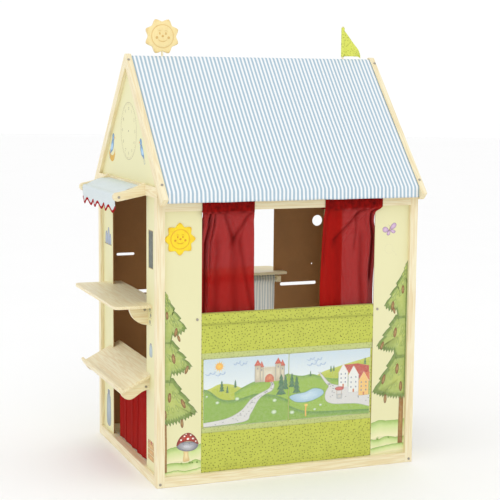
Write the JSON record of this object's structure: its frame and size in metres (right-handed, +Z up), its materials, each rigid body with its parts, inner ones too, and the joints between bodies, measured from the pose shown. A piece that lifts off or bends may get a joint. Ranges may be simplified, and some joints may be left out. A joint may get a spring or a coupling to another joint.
{
  "type": "children's play house",
  "caption": "Wooden play house with a gabled cloth roof, a puppet stage with curtains on the front, and shop and post counters.",
  "frame": {"origin": "on the floor, at the centre of the four corner posts", "axes": "+Z up, -Y towards the puppet stage, -X towards the shop, +Y towards the post counter"},
  "size_m": [1.078, 0.9368, 1.5749],
  "materials": {
    "pine": "clear matt varnish",
    "board": "clear matt varnish",
    "panel": "printed cream outside, raw brown hardboard inside",
    "sun_wood": "stained",
    "screw_steel": "zinc plated",
    "roof_cloth": "woven cotton with narrow stripes",
    "awning_cloth": "woven cotton with a red edging",
    "apron_cloth": "woven cotton with small dots",
    "binding": "woven cotton",
    "red_cloth": "light woven cotton",
    "striped_cloth": "woven cotton with stripes",
    "pennant_cloth": "woven cotton with small dots",
    "card": "printed card",
    "clear_film": "clear film"
  },
  "bodies": {
    "house": {"apron_bindings": "binding", "awning_brackets": "pine", "awning_cloth": "awning_cloth", "awning_rail": "pine", "beam_front": "pine", "beam_rear": "pine", "bottom_rail_front": "pine", "bottom_rail_left": "pine", "bottom_rail_rear": "pine", "bottom_rail_right": "pine", "eave_rail_front": "pine", "eave_rail_rear": "pine", "frame_screws": "screw_steel", "front_panel_left": "panel", "front_panel_right": "panel", "gable_panel_left": "panel", "gable_panel_right": "panel", "left_panel_front": "panel", "left_panel_rear": "panel", "picture_cards": "card", "picture_pockets": "clear_film", "post_left_front": "pine", "post_left_rear": "pine", "post_right_front": "pine", "post_right_rear": "pine", "rafter_left_front": "pine", "rafter_left_rear": "pine", "rafter_right_front": "pine", "rafter_right_rear": "pine", "rear_counter": "board", "rear_counter_brackets": "pine", "rear_curtain": "striped_cloth", "rear_curtain_rod": "pine", "rear_panel_left": "panel", "rear_panel_right": "panel", "ridge_rail": "pine", "right_panel_front": "panel", "right_panel_rear": "panel", "rod_blocks": "pine", "roof_cloth": "roof_cloth", "shop_counter": "board", "shop_counter_brackets": "pine", "shop_curtain_rod": "pine", "shop_tray": "board", "small_screws": "screw_steel", "stage_apron": "apron_cloth", "stage_rail": "pine", "strip_sun": "sun_wood", "tie_rail_left": "pine", "tie_rail_right": "pine", "tray_brackets": "pine", "tray_lip": "board"},
    "curtain_left_body": {"curtain_left": "red_cloth"},
    "curtain_right_body": {"curtain_right": "red_cloth"},
    "shop_curtain_body": {"shop_curtain": "red_cloth"},
    "sun_body": {"roof_sun": "sun_wood", "roof_sun_stick": "pine"},
    "flag_body": {"flag": "pennant_cloth", "flag_stick": "pine"}
  },
  "joints": [
    {"name": "curtain_left_slide", "type": "slide", "parent": "house", "child": "curtain_left_body", "axis": [1, 0, 0], "range_m": [0, 0.135]},
    {"name": "curtain_right_slide", "type": "slide", "parent": "house", "child": "curtain_right_body", "axis": [1, 0, 0], "range_m": [-0.119, 0]},
    {"name": "shop_curtain_slide", "type": "slide", "parent": "house", "child": "shop_curtain_body", "axis": [0, 1, 0], "range_m": [0, 0.04]},
    {"name": "sun_turn", "type": "hinge", "parent": "house", "child": "sun_body", "pos_m": [-0.345, 0, 1.43], "axis": [0, 0, 1], "continuous": true},
    {"name": "flag_turn", "type": "hinge", "parent": "house", "child": "flag_body", "pos_m": [0.354, 0, 1.43], "axis": [0, 0, 1], "continuous": true}
  ]
}
